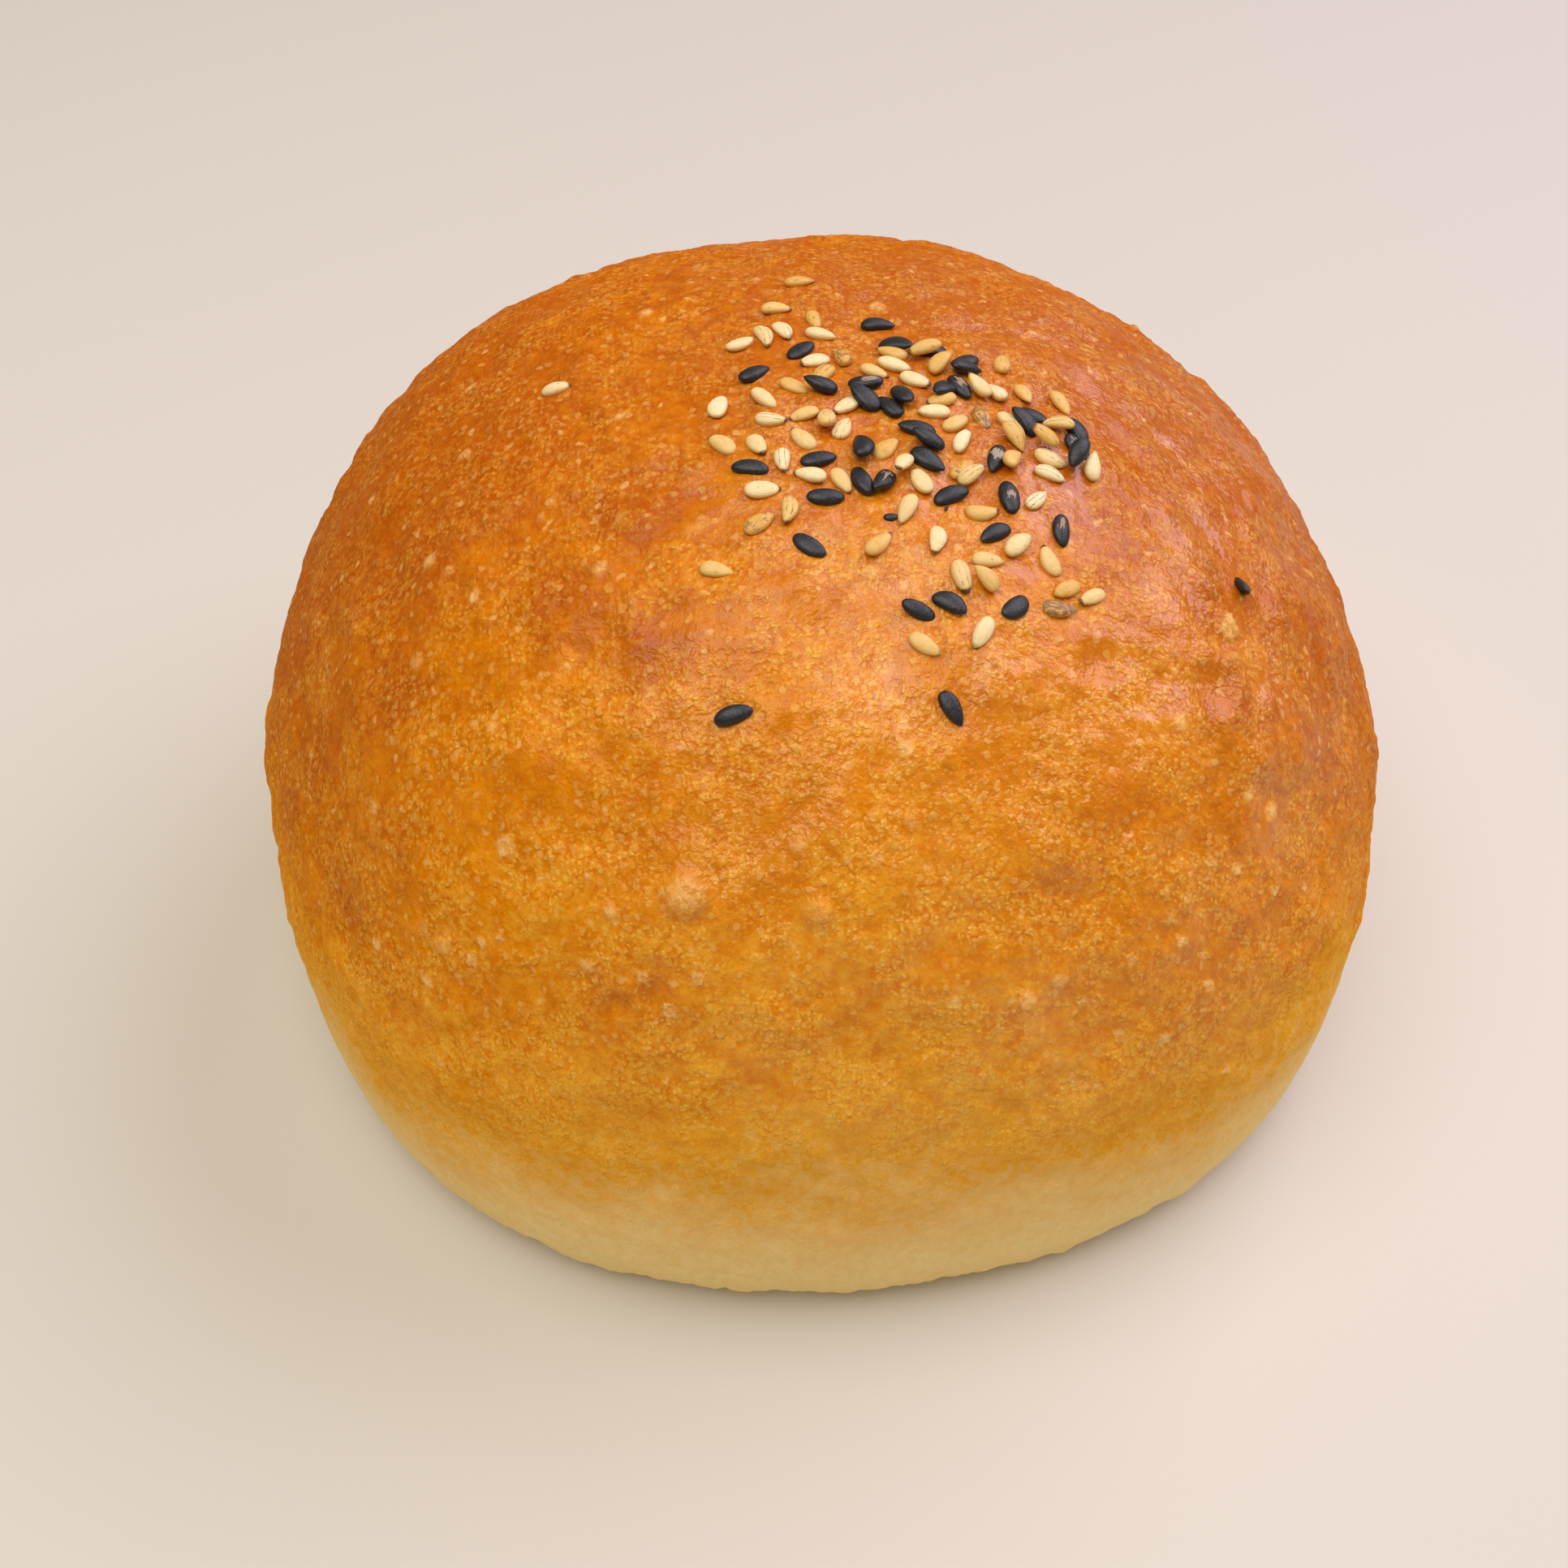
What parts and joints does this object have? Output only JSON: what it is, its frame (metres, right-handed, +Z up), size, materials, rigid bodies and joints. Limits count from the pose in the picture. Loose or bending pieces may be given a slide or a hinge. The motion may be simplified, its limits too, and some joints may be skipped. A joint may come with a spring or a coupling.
{
  "type": "red bean bun",
  "caption": "Tall round baked bun with a golden brown crust, a pale edge round its flat base, and pale and black sesame seeds scattered on top.",
  "frame": {"origin": "on the flat base, below the middle of the bun's box", "axes": "+Z up out of the base; the picture's camera looks along +Y and down, with +X to the right"},
  "size_m": [0.1114, 0.1098, 0.0678],
  "materials": {
    "crust": "satin baked crust, egg washed",
    "pale_sesame": "dry seed skin",
    "black_sesame": "dry seed skin"
  },
  "bodies": {
    "root": {"bun": "crust"}
  },
  "joints": []
}
